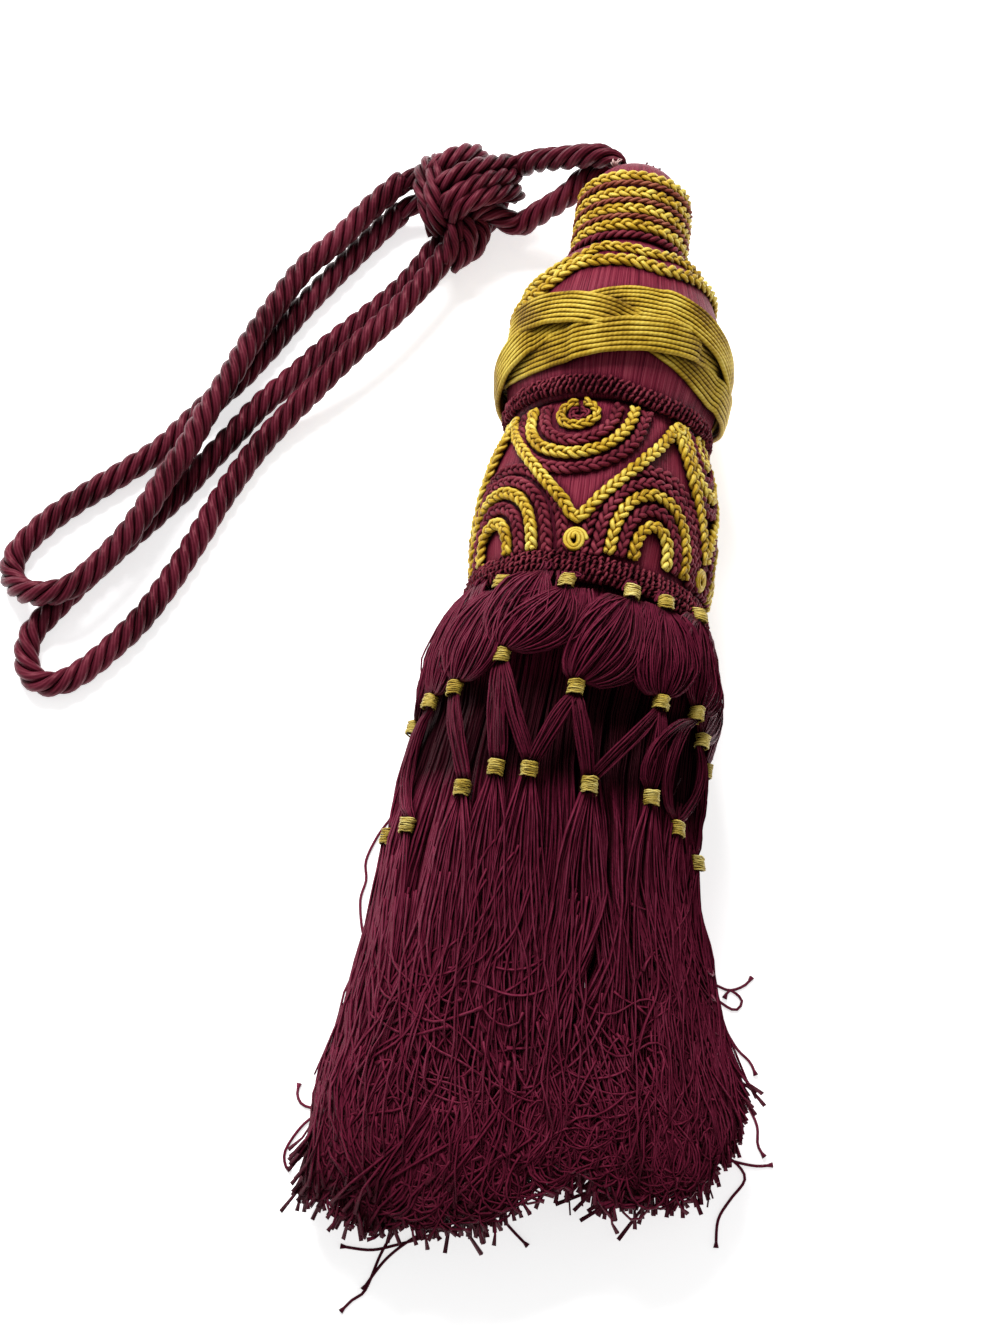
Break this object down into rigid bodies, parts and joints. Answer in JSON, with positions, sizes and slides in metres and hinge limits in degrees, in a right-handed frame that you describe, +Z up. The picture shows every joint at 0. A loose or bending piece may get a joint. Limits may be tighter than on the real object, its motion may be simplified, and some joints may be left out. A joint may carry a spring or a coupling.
{
  "type": "curtain tieback tassel",
  "caption": "Tassel on its side: thread-wound head and braid-covered barrel over a knotted net and long fringe skirt, with a knotted double cord loop for tying back a curtain.",
  "frame": {"origin": "on the surface, under the lowest line of the trim round the barrel's lower edge, where the tassel rests", "axes": "+Y along the tassel's axis towards its head, +Z up, +X to the right of someone who looks along +Y"},
  "size_m": [0.2368, 0.3405, 0.0809],
  "materials": {
    "satin_winding": "burgundy rayon threads wound side by side over a turned mould, with a satin sheen",
    "gold_braid": "plaited gold rayon braid, shiny",
    "gold_cord_band": "fine gold cords laid side by side, soft sheen",
    "burgundy_braid": "looped and plaited burgundy rayon, matt",
    "rayon_thread": "fine burgundy twisted threads with a low sheen",
    "satin_cord": "four-strand burgundy cord with a satin sheen"
  },
  "bodies": {
    "root": {"head_mould": "satin_winding", "barrel_mould": "satin_winding", "barrel_trim": "burgundy_braid", "bell_trim": "burgundy_braid", "bell_band": "gold_cord_band", "gold_ring_1": "gold_braid", "gold_ring_2": "gold_braid", "gold_ring_3": "gold_braid", "gold_ring_4": "gold_braid", "gold_ring_5": "gold_braid", "gold_ring_6": "gold_braid", "gold_zigzag": "gold_braid", "gold_disc_1": "gold_braid", "gold_disc_2": "gold_braid", "gold_disc_3": "gold_braid", "gold_disc_4": "gold_braid", "gold_disc_5": "gold_braid", "gold_arch_outer_1": "gold_braid", "gold_arch_outer_2": "gold_braid", "gold_arch_outer_3": "gold_braid", "gold_arch_outer_4": "gold_braid", "gold_arch_outer_5": "gold_braid", "gold_arch_inner_1": "gold_braid", "gold_arch_inner_2": "gold_braid", "gold_arch_inner_3": "gold_braid", "gold_arch_inner_4": "gold_braid", "gold_arch_inner_5": "gold_braid", "gold_medallion_1": "gold_braid", "gold_medallion_2": "gold_braid", "gold_medallion_3": "gold_braid", "gold_medallion_4": "gold_braid", "gold_medallion_5": "gold_braid", "gold_horseshoe_1": "gold_braid", "gold_horseshoe_2": "gold_braid", "gold_horseshoe_3": "gold_braid", "gold_horseshoe_4": "gold_braid", "gold_horseshoe_5": "gold_braid", "burgundy_ring_1": "burgundy_braid", "burgundy_ring_2": "burgundy_braid", "burgundy_ring_3": "burgundy_braid", "burgundy_ring_4": "burgundy_braid", "burgundy_arch_1": "burgundy_braid", "burgundy_arch_2": "burgundy_braid", "burgundy_arch_3": "burgundy_braid", "burgundy_arch_4": "burgundy_braid", "burgundy_arch_5": "burgundy_braid", "burgundy_medallion_1": "burgundy_braid", "burgundy_medallion_2": "burgundy_braid", "burgundy_medallion_3": "burgundy_braid", "burgundy_medallion_4": "burgundy_braid", "burgundy_medallion_5": "burgundy_braid", "overskirt_net": "rayon_thread", "skirt": "rayon_thread", "cord_upper_loop": "satin_cord", "cord_lower_loop": "satin_cord", "cord_upper_bridle": "satin_cord", "cord_lower_bridle": "satin_cord", "knot": "satin_cord"}
  },
  "joints": []
}
